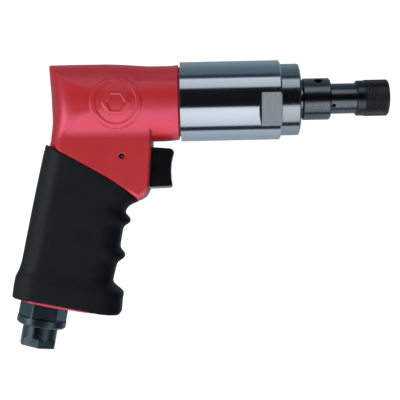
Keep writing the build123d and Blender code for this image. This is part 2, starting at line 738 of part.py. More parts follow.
for i, (angle, centre) in enumerate(zip(PLANET_ANGLES, PLANET_CENTRES)):
    with BuildPart() as planet:
        with BuildSketch(x_plane(X_GEAR[0], *centre)):
            with BuildLine():
                Polyline(*gear_outline(PLANET_TEETH, angle + 180 / PLANET_TEETH), close=True)
            make_face()
            Circle(R_BUSH + 0.04, mode=Mode.SUBTRACT)
        extrude(amount=GEAR_WIDTH)
    save(planet.part, f"planet_gear_{i + 1}")

with BuildPart() as planet_bushes:
    with BuildSketch(x_plane(X_GEAR[0] + 0.2)):
        with Locations(*PLANET_CENTRES):
            Circle(R_BUSH)
            Circle(R_PLANET_PIN + 0.02, mode=Mode.SUBTRACT)
    extrude(amount=GEAR_WIDTH - 0.4)
save(planet_bushes.part, "planet_bushes")

with BuildPart() as planet_pins:
    with BuildSketch(x_plane(X_GEAR[0] - 0.2)):
        with Locations(*PLANET_CENTRES):
            Circle(R_PLANET_PIN)
    extrude(amount=0.2 - X_GEAR[0])
save(planet_pins.part, "planet_pins")

# ------------------------------------------------------------------ drive shaft and clutch
X_NOSE = 48.0                 # front end of the drive shaft
X_HEX = 19.4                  # start of the shaft's hexagon
HEX_HALF = 6.2                # half the width across its flats
X_JAW = (32.3, 37.5)
R_JAW = 13.2
R_TEETH = (8.9, 13.0)         # inside and outside of the jaw teeth
TOOTH = 2.8                   # tooth height
TOOTH_GAP = 66                # degrees
R_GROOVE = 5.2                # retaining ring groove
R_CARRIER = 14.4
X_CARRIER = -5.3

with BuildPart() as carrier:
    # carrier disc, recessed at the rear to clear the pinion's end
    rod(x_plane(X_CARRIER), R_CARRIER, 3.0, bore=5.0)
    rod(x_plane(-3.6), R_CARRIER, 4.2)
    # journal, hexagon with ring groove, and nose
    rod(x_plane(0.5), R_JOURNAL - 0.02, 19.0)
    with BuildSketch(x_plane(X_HEX)):
        RegularPolygon(HEX_HALF, 6, major_radius=False)
    extrude(amount=X_JAW[1] - X_HEX + 2.0)
    turn_down(x_plane(X_JAW[1] + 0.1), R_GROOVE, 1.2, blank=9)
    rod(x_plane(39.4), 4.0, X_NOSE - 39.4)
    # pin holes
    with BuildSketch(x_plane(X_CARRIER)):
        with Locations(*PLANET_CENTRES):
            Circle(R_PLANET_PIN + 0.005)
    extrude(amount=5.35, mode=Mode.SUBTRACT)
save(carrier.part, "planet_carrier")

R_NUT = 13.6
with BuildPart() as adjust_nut:
    with BuildSketch(x_plane(11.6)):
        Circle(R_NUT)
        Circle(R_JOURNAL + 0.02, mode=Mode.SUBTRACT)
        with PolarLocations(R_NUT, 6):
            Rectangle(2.4, 3.0, mode=Mode.SUBTRACT)
    extrude(amount=6.0)
save(adjust_nut.part, "clutch_adjusting_nut")

save_coil("clutch_spring", (19.5, 0, 0), radius=10.4, wire=1.5, pitch=4.2, height=9.7)

with BuildPart() as clutch_washer:
    rod(x_plane(31.0), R_JAW, 1.2, bore=7.4)
save(clutch_washer.part, "clutch_spring_washer")


def jaw_teeth(x, depth, start):
    """Three driving teeth on a face; the first gap between them begins at the start angle."""
    with BuildPart(mode=Mode.PRIVATE) as teeth:
        with BuildSketch(x_plane(x)):
            Circle(R_TEETH[1])
            Circle(R_TEETH[0], mode=Mode.SUBTRACT)
            for k in range(3):
                arc = [polar(20, start + 120 * k + TOOTH_GAP * j / 6) for j in range(7)]
                with BuildLine():
                    Polyline((0, 0), *arc, close=True)
                make_face(mode=Mode.SUBTRACT)
        extrude(amount=depth)
    return teeth.part


with BuildPart() as drive_jaw:
    with BuildSketch(x_plane(X_JAW[0])):
        Circle(R_JAW)
        RegularPolygon(HEX_HALF + 0.04, 6, major_radius=False, mode=Mode.SUBTRACT)
    extrude(amount=X_JAW[1] - X_JAW[0])
    add(jaw_teeth(X_JAW[1] - 0.05, TOOTH + 0.05, 0))
save(drive_jaw.part, "clutch_drive_jaw")

# retaining ring, open at the bottom
with BuildPart() as jaw_ring:
    with BuildSketch(x_plane(X_JAW[1] + 0.15)):
        Circle(7.9)
        Circle(R_GROOVE + 0.04, mode=Mode.SUBTRACT)
        with Locations((0, -7)):
            Rectangle(5.0, 6.0, mode=Mode.SUBTRACT)
    extrude(amount=1.1)
save(jaw_ring.part, "jaw_retaining_ring")

# ------------------------------------------------------------------ spindle
X_DRIVEN = 44.6               # rear face of the driven jaw
X_SPINDLE = 50.4              # start of the spindle's round shank
R_TAIL = 4.75                 # front tail, which fits the chuck body

with BuildPart() as spindle:
    rod(x_plane(X_DRIVEN), R_JAW, 5.9)
    add(jaw_teeth(X_DRIVEN - TOOTH, TOOTH + 0.05, 60))
    rod(x_plane(X_SPINDLE), R_SPINDLE, X_CHUCK - X_SPINDLE)
    rod(x_plane(X_CHUCK - 0.05), R_TAIL, 11.0)
    # rear bore over the drive shaft's nose
    drill(x_plane(X_DRIVEN - 5), 4.25, 16.5)
save(spindle.part, "output_spindle")

save_coil("spindle_return_spring", (X_NOSE + 0.55, 0, 0), radius=3.3, wire=0.42, pitch=1.9,
          height=6.9)

with BuildPart() as thrust_washer:
    turned([(50.6, 8.56), (50.6, 12.6), (51.5, 12.6), (51.5, 8.56)])
save(thrust_washer.part, "spindle_thrust_washer")

with BuildPart() as spindle_bush:
    turned([(51.7, R_SPINDLE + 0.04), (51.7, 11.2), (60.9, 11.2), (60.9, R_SPINDLE + 0.04)])
save(spindle_bush.part, "spindle_bush")

with BuildPart() as spindle_seal:
    turned([
        (61.1, 9.0), (61.1, 11.18), (63.4, 11.18), (63.4, R_SPINDLE + 0.06),
        (62.5, R_SPINDLE + 0.06), (61.9, 9.0),
    ])
save(spindle_seal.part, "spindle_seal")

# ------------------------------------------------------------------ clutch housing and front cap
with BuildPart() as clutch_housing:
    turned([
        (0, R_SPIGOT + 0.1), (0, R_BARREL), (BARREL_L - 0.7, R_BARREL), (BARREL_L, R_BARREL - 0.7),
        (BARREL_L, 18.1), (47.0, 18.1), (47.0, 17.2), (11.0, 17.2), (11.0, 14.6), (9.0, 14.6),
        (9.0, R_SPIGOT + 0.1),
    ])
    # two milled wrench flats, each with a sloped run-out at its rear end
    flat_cut = [
        (X_FLAT, FLAT_DIST), (X_FLAT - 1.7, FLAT_DIST + 2.3), (X_FLAT - 1.7, 30),
        (BARREL_L + 1, 30), (BARREL_L + 1, FLAT_DIST),
    ]
    for side_angle in (0, 180):
        slab(flat_cut, 20, Mode.SUBTRACT, plane=radial_plane(0, 90 + FLAT_CLOCK + side_angle))
save(clutch_housing.part, "clutch_housing")

with BuildPart() as front_cap:
    turned([
        (47.6, 13.8), (47.6, 18.0), (BARREL_L + 0.05, 18.0), (BARREL_L + 0.05, R_CAP - 0.3),
        (BARREL_L + 0.35, R_CAP), (X_CAP - 1.1, R_CAP), (X_CAP - 0.5, R_CAP - 0.5),
        (X_CAP - 0.1, R_CAP - 1.6), (X_CAP + 0.3, 14.0), (X_CAP + 0.3, 12.6), (X_CAP - 0.1, 12.15),
        (64.6, 12.15), (64.6, 8.9), (63.5, 8.9), (63.5, 11.22), (51.6, 11.22), (51.6, 13.8),
    ])
save(front_cap.part, "front_cap")

# ------------------------------------------------------------------ quick-change chuck
X_STEP = 100.2                # shoulder the sleeve spring rests on
X_BALL = 108.8
R_BALL = 2.2
R_NOSE = 7.0
X_FLANGE = (107.6, 113.0)     # inner flange of the sleeve, with the release cone
R_FLANGE = R_NOSE + 0.07
CONE = 0.15                   # ball lift for each millimetre of sleeve travel
X_CLIP = (113.0, 114.1)       # retaining ring groove
R_CLIP = 6.4

with BuildPart() as chuck_body:
    turned([
        (X_CHUCK, 0), (X_CHUCK, R_COLLAR - 1.2), (X_CHUCK + 0.9, R_COLLAR),
        (X_COLLAR - 0.8, R_COLLAR), (X_COLLAR, R_COLLAR - 0.8), (X_COLLAR, R_CHUCK),
        (X_STEP, R_CHUCK), (X_STEP, R_NOSE), (X_CLIP[0], R_NOSE), (X_CLIP[0], R_CLIP),
        (X_CLIP[1], R_CLIP), (X_CLIP[1], R_NOSE), (X_CHUCK_END - 0.6, R_NOSE),
        (X_CHUCK_END, R_NOSE - 0.6), (X_CHUCK_END, 0),
    ])
    # rear socket for the spindle's tail, and the hexagon socket
    drill(x_plane(X_CHUCK - 1), R_TAIL + 0.05, 13.2)
    with BuildSketch(x_plane(89.0)):
        RegularPolygon(HEX_AF / 2, 6, major_radius=False)
    extrude(amount=30, mode=Mode.SUBTRACT)
    # lock ball hole, spanner hole in the collar, small vent hole
    drill(up_plane(X_BALL, 0), R_BALL + 0.05, 12)
    drill(radial_plane(77.0, 125, 5.8), 2.25, 10)
    drill(radial_plane(85.4, 213, 4.5), 1.15, 10)
save(chuck_body.part, "chuck_body")

with BuildPart() as chuck_sleeve:
    x0, x1 = X_SLEEVE
    turned([
        (x0, R_CHUCK + 0.08), (x0, R_SLEEVE - 0.8), (x0 + 0.5, R_SLEEVE - 0.3),
        (x0 + 4.7, R_SLEEVE - 0.3), (x0 + 4.7, R_SLEEVE), (x1 - 1.3, R_SLEEVE),
        (x1 - 0.4, R_SLEEVE - 0.4), (x1, R_SLEEVE - 1.2), (x1, 8.7), (X_FLANGE[1], 8.7),
        (X_FLANGE[1], R_FLANGE + CONE * (X_FLANGE[1] - X_BALL)), (X_BALL, R_FLANGE),
        (X_FLANGE[0], R_FLANGE), (X_FLANGE[0], R_CHUCK + 0.08),
    ])
save(chuck_sleeve.part, "chuck_sleeve")

save_coil("sleeve_spring", (X_STEP + 0.45, 0, 0), radius=7.7, wire=0.35, pitch=2.0, height=6.5)

# retaining ring, open at the bottom
with BuildPart() as chuck_ring:
    with BuildSketch(x_plane(X_CLIP[0] + 0.08)):
        Circle(8.4)
        Circle(R_CLIP + 0.05, mode=Mode.SUBTRACT)
        with Locations((0, -8)):
            Rectangle(3.4, 6.0, mode=Mode.SUBTRACT)
    extrude(amount=1.0)
save(chuck_ring.part, "chuck_retaining_ring")

with BuildPart() as lock_ball:
    with Locations((X_BALL, 0, 4.85)):
        Sphere(R_BALL)
save(lock_ball.part, "lock_ball")
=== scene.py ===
import json
import math

import bpy
import numpy as np
from mathutils import Euler, Matrix, Vector


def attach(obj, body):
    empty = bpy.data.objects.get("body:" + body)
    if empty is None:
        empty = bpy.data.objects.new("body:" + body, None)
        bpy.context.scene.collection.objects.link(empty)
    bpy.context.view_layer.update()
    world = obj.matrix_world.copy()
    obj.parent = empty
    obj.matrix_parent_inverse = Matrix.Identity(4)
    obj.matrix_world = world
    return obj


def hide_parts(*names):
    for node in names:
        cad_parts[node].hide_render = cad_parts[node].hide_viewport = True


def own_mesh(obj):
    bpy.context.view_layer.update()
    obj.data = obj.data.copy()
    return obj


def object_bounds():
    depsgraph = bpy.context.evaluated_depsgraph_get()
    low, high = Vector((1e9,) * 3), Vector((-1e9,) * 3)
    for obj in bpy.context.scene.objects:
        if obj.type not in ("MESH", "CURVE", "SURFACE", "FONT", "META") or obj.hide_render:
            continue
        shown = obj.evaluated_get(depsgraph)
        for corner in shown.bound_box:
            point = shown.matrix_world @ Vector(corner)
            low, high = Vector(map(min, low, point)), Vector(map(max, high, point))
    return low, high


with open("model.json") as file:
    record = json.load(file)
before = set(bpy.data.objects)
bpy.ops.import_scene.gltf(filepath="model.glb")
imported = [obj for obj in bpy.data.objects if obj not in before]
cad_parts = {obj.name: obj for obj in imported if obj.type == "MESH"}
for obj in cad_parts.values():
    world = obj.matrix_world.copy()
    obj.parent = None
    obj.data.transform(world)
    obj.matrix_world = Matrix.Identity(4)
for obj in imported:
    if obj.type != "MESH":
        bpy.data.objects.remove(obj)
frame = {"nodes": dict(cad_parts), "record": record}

nodes = frame["nodes"]
lo0, hi0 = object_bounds()
MM = 0.001
C12, S12 = math.cos(math.radians(12)), math.sin(math.radians(12))
FLAT_D, FLAT_CLOCK = 20.15, math.radians(20)


# ---------------------------------------------------------------- distance-field helpers, all in millimetres
def smin(a, b, k):
    h = np.clip(0.5 + 0.5 * (b - a) / k, 0, 1)
    return b + (a - b) * h - k * h * (1 - h)


def smax(a, b, k):
    return -smin(-a, -b, k)


def rmax(a, b, r):
    """Intersection with a round edge of radius r."""
    return np.minimum(np.maximum(a, b) + r, 0) + np.hypot(np.maximum(a + r, 0), np.maximum(b + r, 0)) - r


def rmin(a, b, r):
    return -rmax(-a, -b, r)


def step(t, a, b):
    s = np.clip((t - a) / (b - a), 0, 1)
    return s * s * (3 - 2 * s)


def table(points, sigma):
    """Smooth function through (position, value) points."""
    points = sorted(points)
    p = np.array(points, float)
    t = np.arange(p[0, 0] - 12, p[-1, 0] + 12, 0.1)
    v = np.interp(t, p[:, 0], p[:, 1])
    if sigma > 0:
        n = int(4 * sigma / 0.1)
        w = np.exp(-0.5 * (np.arange(-n, n + 1) * 0.1 / sigma) ** 2)
        v = np.convolve(np.pad(v, n, mode="edge"), w / w.sum(), mode="valid")
    return lambda q: np.interp(q, t, v)


def polygon(px, pz, pts):
    """Signed distance to a closed polygon, negative inside."""
    d = np.full(np.broadcast(px, pz).shape, 1e9)
    inside = np.zeros(d.shape, bool)
    n = len(pts)
    for i in range(n):
        (ax, az), (bx, bz) = pts[i], pts[(i + 1) % n]
        ex, ez = bx - ax, bz - az
        t = np.clip(((px - ax) * ex + (pz - az) * ez) / (ex * ex + ez * ez), 0, 1)
        d = np.minimum(d, np.hypot(px - ax - t * ex, pz - az - t * ez))
        if az != bz:
            inside ^= ((az > pz) != (bz > pz)) & (px < (bx - ax) * (pz - az) / (bz - az) + ax)
    return np.where(inside, -d, d)


def round_box(a, b, ha, hb, r):
    da, db = np.abs(a) - (ha - r), np.abs(b) - (hb - r)
    return np.hypot(np.maximum(da, 0), np.maximum(db, 0)) + np.minimum(np.maximum(da, db), 0) - r


def surface(f, lo, hi, h, newton=3):
    """Quad mesh of f = 0, as (vertices, quads)."""
    n = [int(math.ceil((hi[i] - lo[i]) / h)) + 1 for i in range(3)]
    ax = [lo[i] + h * np.arange(n[i]) for i in range(3)]
    d = np.array(np.broadcast_to(f(ax[0][:, None, None], ax[1][None, :, None], ax[2][None, None, :]), n), np.float32)
    s = d < 0
    count = np.zeros([m - 1 for m in n], np.int8)
    for i in (0, 1):
        for j in (0, 1):
            for k in (0, 1):
                count += s[i:n[0] - 1 + i, j:n[1] - 1 + j, k:n[2] - 1 + k]
    act = (count > 0) & (count < 8)
    index = np.full(act.shape, -1, np.int64)
    cells = np.argwhere(act)
    index[act] = np.arange(len(cells))
    total, hits = np.zeros((len(cells), 3)), np.zeros(len(cells))
    corner = lambda o: d[cells[:, 0] + o[0], cells[:, 1] + o[1], cells[:, 2] + o[2]].astype(float)
    for axis in range(3):
        others = [a for a in range(3) if a != axis]
        for p in (0, 1):
            for q in (0, 1):
                o0 = [0, 0, 0]
                o0[others[0]], o0[others[1]] = p, q
                o1 = list(o0)
                o1[axis] = 1
                v0, v1 = corner(o0), corner(o1)
                m = (v0 < 0) != (v1 < 0)
                t = np.where(m, v0 / np.where(m, v0 - v1, 1), 0)
                pt = np.array(o0, float) + np.outer(t, [1 if a == axis else 0 for a in range(3)])
                total += pt * m[:, None]
                hits += m
    verts = (cells + total / hits[:, None]) * h + np.array([a[0] for a in ax])
    quads = []
    for axis in range(3):
        a, b = [(1, 2), (2, 0), (0, 1)][axis]
        sl0 = [slice(None)] * 3
        sl1 = [slice(None)] * 3
        sl0[axis], sl1[axis] = slice(0, n[axis] - 1), slice(1, n[axis])
        s0, s1 = s[tuple(sl0)], s[tuple(sl1)]
        cross = s0 != s1
        pos = np.argwhere(cross)
        ok = (pos[:, a] > 0) & (pos[:, b] > 0) & (pos[:, a] < n[a] - 1) & (pos[:, b] < n[b] - 1)
        pos = pos[ok]
        flip = s0[pos[:, 0], pos[:, 1], pos[:, 2]]
        ring = []
        for da, db in ((1, 1), (0, 1), (0, 0), (1, 0)):
            c = pos.copy()
            c[:, a] -= da
            c[:, b] -= db
            ring.append(index[c[:, 0], c[:, 1], c[:, 2]])
        q = np.stack(ring, 1)
        q[~flip] = q[~flip][:, ::-1]
        quads.append(q)
    quads = np.concatenate(quads)
    for _ in range(newton):
        e = 0.02
        x, y, z = verts.T
        g = np.stack([f(x + e, y, z) - f(x - e, y, z), f(x, y + e, z) - f(x, y - e, z), f(x, y, z + e) - f(x, y, z - e)], 1) / (2 * e)
        v = f(x, y, z)
        g2 = np.maximum((g * g).sum(1), 0.15)
        verts = verts - np.clip(v / g2, -0.6 * h, 0.6 * h)[:, None] * g
    return verts, quads


def mesh_object(name, verts, faces, smooth=True):
    """faces is an array of quads, or a list of index lists."""
    me = bpy.data.meshes.new(name)
    if isinstance(faces, np.ndarray):
        me.vertices.add(len(verts))
        me.vertices.foreach_set("co", (np.asarray(verts) * MM).astype(np.float32).ravel())
        me.loops.add(faces.size)
        me.loops.foreach_set("vertex_index", faces.astype(np.int32).ravel())
        me.polygons.add(len(faces))
        me.polygons.foreach_set("loop_start", np.arange(0, faces.size, faces.shape[1], dtype=np.int32))
        me.update(calc_edges=True)
    else:
        me.from_pydata([tuple(float(c) * MM for c in v) for v in verts], [], faces)
        me.update()
    me.validate()
    me.polygons.foreach_set("use_smooth", [smooth] * len(me.polygons))
    o = bpy.data.objects.new(name, me)
    bpy.context.scene.collection.objects.link(o)
    return o


def revolve_object(name, profile, count, radius=None, sharp=35):
    """Closed (x, r) profile turned about the X axis; radius(x, r, angle) may change the radius."""
    p = np.array(profile, float)
    a = np.arange(count) * 2 * math.pi / count
    x = np.repeat(p[:, 0][:, None], count, 1)
    r = np.repeat(p[:, 1][:, None], count, 1)
    if radius is not None:
        r = radius(x, r, np.repeat(a[None, :], len(p), 0))
    verts = np.stack([x, r * np.cos(a), r * np.sin(a)], 2).reshape(-1, 3)
    i = np.arange(len(p))[:, None]
    j = np.arange(count)[None, :]
    i1, j1 = (i + 1) % len(p), (j + 1) % count
    q = np.stack([i * count + j, i * count + j1, i1 * count + j1, i1 * count + j], 2).reshape(-1, 4)
    o = mesh_object(name, verts, q)
    o.data.set_sharp_from_angle(angle=math.radians(sharp))
    return o


def volume_sign(o):
    """Turns the mesh inside out if its faces point inwards."""
    me = o.data
    me.calc_loop_triangles()
    co = np.empty(len(me.vertices) * 3, np.float32)
    me.vertices.foreach_get("co", co)
    co = co.reshape(-1, 3).astype(float)
    tri = np.empty(len(me.loop_triangles) * 3, np.int32)
    me.loop_triangles.foreach_get("vertices", tri)
    t = co[tri.reshape(-1, 3)]
    if np.einsum("ij,ij->", t[:, 0], np.cross(t[:, 1], t[:, 2])) < 0:
        me.flip_normals()
    return o


# ---------------------------------------------------------------- motor housing
W_CHEEK, R_BODY, R_FILLET = 15.2, 22.0, 14.0
EDGE = [(-76.2, -22.2), (-71.5, -24.9), (-60.2, -31.1), (-51.0, -36.4), (-40.6, -42.5), (-31.5, -48.8), (-27.6, -52.1), (-24.4, -55.1)]
rear_line = table([(-30, -76.1), (-24, -74.6), (-20.9, -73.65), (-17.6, -72.9), (-14.2, -72.42), (-10.8, -72.07), (-7.4, -72.03), (-1.0, -72.3),
                   (2.7, -72.35), (6.1, -72.5), (12.9, -73.0), (19.7, -73.4), (30, -74.0)], 0.8)
r_low = table([(-75, 22.0), (-9, 22.0), (-4, 21.7), (-1.8, 21.4), (0, 21.1), (9, 21.1)], 0.6)
r_top = table([(-75, 22.0), (-57, 22.05), (-50, 22.0), (-41, 21.9), (-36.7, 21.75), (-32, 21.5), (-27.7, 21.15), (-23.2, 20.8), (-18.8, 20.45),
               (-16.5, 20.35), (-7.6, 20.3), (-5.3, 20.35), (-3.1, 20.5), (-0.8, 20.8), (9, 20.8)], 0.8)


def edge_region(x, z):
    """Below zero on the painted side of the rubber's upper edge."""
    pts = [(-130.0, 3.0)] + EDGE + [(-22.7, -54.1), (-20.3, -52.7), (-17.9, -50.4), (40.0, -14.0), (40.0, 90.0), (-130.0, 90.0)]
    return polygon(x, z, pts)


def handle_core(x, y, z):
    u, v = -x * S12 - z * C12, x * C12 - z * S12
    d = round_box(v + 44.4, y, 23.0, 13.0, 11.0)
    # lower end cut on the slant, with a round seat for the inlet
    d = smax(smax(d, 26 - u, 0.5), u - (126.6 - 0.0316 * (v + 72)), 0.5)
    return np.maximum(d, -np.maximum(np.hypot(v + 54, y) - 14.1, 125.8 - u))


def housing(x, y, z):
    ay = np.abs(y)
    rr = np.hypot(y, z)
    rl, rt = r_low(x), r_top(x)
    s = step(x, -25.0, -21.4)
    body_r = rl + (rt - rl) * (step(z, 3.0, 20.0) * (1 - s) + step(z, 9.6, 12.4) * s)
    circ = rr - body_r
    yc = W_CHEEK + R_FILLET
    zc = -math.sqrt((R_BODY + R_FILLET) ** 2 - yc ** 2)
    below = (yc * z - zc * ay) < 0
    section = np.where(below, np.where(z > zc, R_FILLET - np.hypot(ay - yc, z - zc), ay - W_CHEEK + 0 * z), circ)
    front = (x - (-16.3 + 0.077 * np.minimum(z + 23.5, 0))) * 0.997
    edge = edge_region(x, z)
    cheek = rmax(section, front, 1.7)
    cheek = rmax(cheek, edge, 0.7 + 2.6 * step(x, -34, -22))
    body = np.minimum(rmax(circ, edge, 0.7), cheek)
    yt = np.minimum(ay, 21.6) / 22.1
    bend = np.sqrt(1 - yt * yt)
    back = (rear_line(z) + 15.9 * (1 - bend) - x) / np.sqrt(1 + (15.9 / 22.1 * yt / bend) ** 2)
    body = rmax(body, back, 1.1 + 4.4 * (1 - step(z, 4.0, 21.0)))
    body = rmax(body, x + 0.9, 0.45)
    # raised ring with a plain hexagon in it, cast on both sides
    ex, ez = x + 34.9, z + 1.6
    ring = np.abs(np.hypot(ex, ez) - 12.6) - 1.35
    hexa = np.maximum(np.abs(ez), np.abs(ex) * 0.8660254 + np.abs(ez) * 0.5)
    mark = np.minimum(ring, np.abs(hexa - 5.5) - 1.0)
    body = body - 0.55 * step(-mark, -0.35, 0.35) * step(ay, 8.0, 10.0)
    # spigot and handle core
    d = np.minimum(body, np.maximum(np.maximum(rr - 19.4, x - 8.6), -(x + 6)))
    d = np.minimum(d, handle_core(x, y, z))
    # hollows
    u, v = -x * S12 - z * C12, x * C12 - z * S12
    d = np.maximum(d, -np.maximum(rr - 17.8, -63.5 - x))
    d = np.maximum(d, -np.maximum(np.maximum(np.hypot(y, z + 36.8) - 7.0, -68.0 - x), x + 13))
    d = smax(d, -np.maximum(np.maximum(round_box(y, z + 37.0, 8.2, 12.1, 2.0), -25.6 - x), x + 10), 0.5)
    d = smax(d, -(np.hypot(x + 32.8, z + 30.5) - 1.55), 0.3)
    d = np.maximum(d, -np.maximum(np.hypot(v + 54, y) - 6.5, 48 - u))
    d = np.maximum(d, -np.maximum(np.hypot(v + 54, y) - 10.5, 111.5 - u))
    d = np.maximum(d, -np.maximum(round_box(v + 33, y, 7.5, 10.0, 5.0), 61 - u))
    d = np.maximum(d, -np.maximum(round_box(v + 33, y, 8.3, 11.6, 6.0), 122.1 - u))
    return d


H_HOUSE = 0.5
v, q = surface(housing, (-94.5, -23.5, -123.0), (9.5, 23.5, 23.5), H_HOUSE)
shell = volume_sign(mesh_object("housing_casting", v, q))
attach(shell, "tool")
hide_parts("motor_housing")

# ---------------------------------------------------------------- rubber grip
v_front = table([(20, -12.0), (57, -12.0), (58.7, -12.5), (59.8, -13.4), (61.6, -16.2), (63.1, -17.9), (64.4, -18.6), (65.6, -19.1), (66.9, -19.15),
                 (67.9, -18.45), (68.8, -17.0), (69.8, -15.95), (70.9, -15.5), (72.0, -15.6), (73.2, -16.6), (74.6, -18.2), (75.9, -18.7),
                 (77.1, -18.82), (80.5, -18.76), (83.9, -18.68), (85.2, -18.62), (86.3, -18.42), (87.3, -18.05), (88.3, -17.0), (89.3, -15.7),
                 (90.3, -14.95), (91.4, -14.85), (92.5, -15.2), (93.9, -16.6), (95.3, -18.0), (96.5, -18.45), (98.9, -18.72), (101.2, -18.8),
                 (104.6, -18.95), (106.0, -19.0), (107.1, -18.55), (108.0, -17.55), (108.9, -16.3), (109.7, -14.7), (110.6, -13.2), (111.5, -12.05),
                 (112.5, -11.7), (115, -11.7), (117, -11.55), (119.3, -11.3), (121.5, -11.1), (135, -11.0)], 0.4)
v_rear = table([(20, -69.6), (39.7, -69.7), (44.3, -70.0), (53.5, -70.2), (62.7, -70.4), (76, -70.6), (90, -70.7), (104, -70.8), (106, -71.0),
                (108.4, -71.25), (110.8, -71.8), (113.3, -72.5), (120, -72.4), (124, -72.1), (135, -72.0)], 0.8)
half = table([(20, 16.5), (40, 16.5), (60, 16.4), (80, 16.1), (105, 16.1), (108.5, 16.4), (111.5, 17.4), (114, 17.8), (135, 17.9)], 0.8)
bottom = table([(-90, 125.3), (-72, 125.1), (-66, 124.65), (-58, 124.1), (-50, 123.95), (-40, 123.95), (-30, 124.1), (-22, 124.2), (-14, 123.75), (-5, 123.3)], 1.5)


def grip(x, y, z):
    u, v = -x * S12 - z * C12, x * C12 - z * S12
    vf, vr, w = v_front(u), v_rear(u), half(u)
    c, a = (vf + vr) / 2, (vf - vr) / 2
    t = v - c
    w = w - 0.7 * np.clip(t / a, -1, 1) ** 2
    r = 12.0 - 1.4 * np.tanh(t / 6)
    dv, dy = np.abs(t) - (a - r), np.abs(y) - (w - r)
    d = np.hypot(np.maximum(dv, 0), np.maximum(dy, 0)) + np.minimum(np.maximum(dv, dy), 0) - r
    d = rmax(d, 0.06 - edge_region(x, z), 0.9)
    # flat cut at the back, where the rubber's corner stands clear of the casting
    d = rmax(d, u - bottom(v), 1.1)
    return np.maximum(d, -(round_box(v + 44.4, y, 23.02, 13.02, 11.0)))


H_GRIP = 0.55
v, q = surface(grip, (-98.5, -18.9, -128.5), (-14.0, 18.9, -17.0), H_GRIP)
rubber = volume_sign(mesh_object("rubber_grip", v, q))
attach(rubber, "tool")
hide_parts("grip_sleeve")

# ---------------------------------------------------------------- trigger
trig_pts = [(-19.4, -25.55), (-15.3, -25.55), (-6.6, -26.3), (-5, -26.9), (-4.4, -28.1), (-4.55, -28.9), (-5.2, -31), (-5.85, -33.8),
            (-6.2, -36.8), (-6.3, -39.7), (-6.2, -42.7), (-5.9, -45.3), (-5.7, -46.9), (-6.3, -47.9), (-7.6, -48.2), (-19.4, -48.45)]


def trigger(x, y, z):
    d = rmax(polygon(x, z, trig_pts) - 0.05, np.abs(y) - 7.6, 1.3)
    hollow = np.maximum(np.maximum(round_box(y, z + 36.8, 5.8, 9.3, 2.0), x + 12.0), 4.4 - np.hypot(y, z + 36.8))
    d = np.maximum(d, -hollow)
    return np.maximum(d, -np.maximum(np.hypot(y, z + 36.8) - 2.52, x + 13.0))


v, q = surface(trigger, (-20.2, -8.4, -49.2), (-3.4, 8.4, -24.4), 0.28)
button = volume_sign(mesh_object("trigger_lever", v, q))
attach(button, "trigger")
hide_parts("trigger_button")

# ---------------------------------------------------------------- knurled sleeve of the chuck
N_KNURL = 45
K0, K1 = 103.2, 115.3


def knurl(x, r, a):
    pitch = 2 * math.pi * 10.2 / N_KNURL
    inside = np.clip((x - K0) / 0.25, 0, 1) * np.clip((K1 - x) / 0.25, 0, 1) * (r > 10.0)
    g = 0.62 * (x - K0) / pitch
    t1, t2 = a * N_KNURL / (2 * math.pi) + g, a * N_KNURL / (2 * math.pi) - g
    groove = lambda t: np.clip(1 - np.abs((t % 1.0) - 0.5) * 2 / 0.55, 0, 1)
    return r - 0.40 * inside * np.maximum(groove(t1), groove(t2))


knurl_x = list(np.linspace(K0 - 0.02, K1 + 0.02, 120))
profile = ([(98.4, 8.58), (98.4, 9.35), (98.55, 9.65), (98.9, 9.85), (99.2, 9.9), (102.95, 9.9), (103.1, 10.0)] + [(x, 10.2) for x in knurl_x]
           + [(115.6, 10.18), (115.95, 10.02), (116.2, 9.78), (116.4, 9.45), (116.5, 9.1), (116.5, 8.9), (116.35, 8.72),
              (113.0, 8.7), (113.0, 7.7), (108.8, 7.07), (107.6, 7.07), (107.6, 8.58)])
sleeve = volume_sign(revolve_object("knurled_sleeve", profile, N_KNURL * (10), knurl))
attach(sleeve, "sleeve")
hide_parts("chuck_sleeve")

# ---------------------------------------------------------------- springs, smooth-shaded copies of the CAD coils attached to their bodies
slot_of = {s["node"]: s["material_slot"] for s in frame["record"]["subparts"]}


def coil(node, name, body):
    src = nodes[node]
    me = src.data.copy()
    me.name = name
    me.polygons.foreach_set("use_smooth", [True] * len(me.polygons))
    o = bpy.data.objects.new(name, me)
    o.matrix_world = src.matrix_world.copy()
    bpy.context.scene.collection.objects.link(o)
    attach(o, body)
    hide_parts(node)
    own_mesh(o)
    return o


coils = [coil("sleeve_spring", "sleeve_coil", "spindle"),
         coil("spindle_return_spring", "return_coil", "spindle"),
         coil("throttle_spring", "throttle_coil", "tool")]


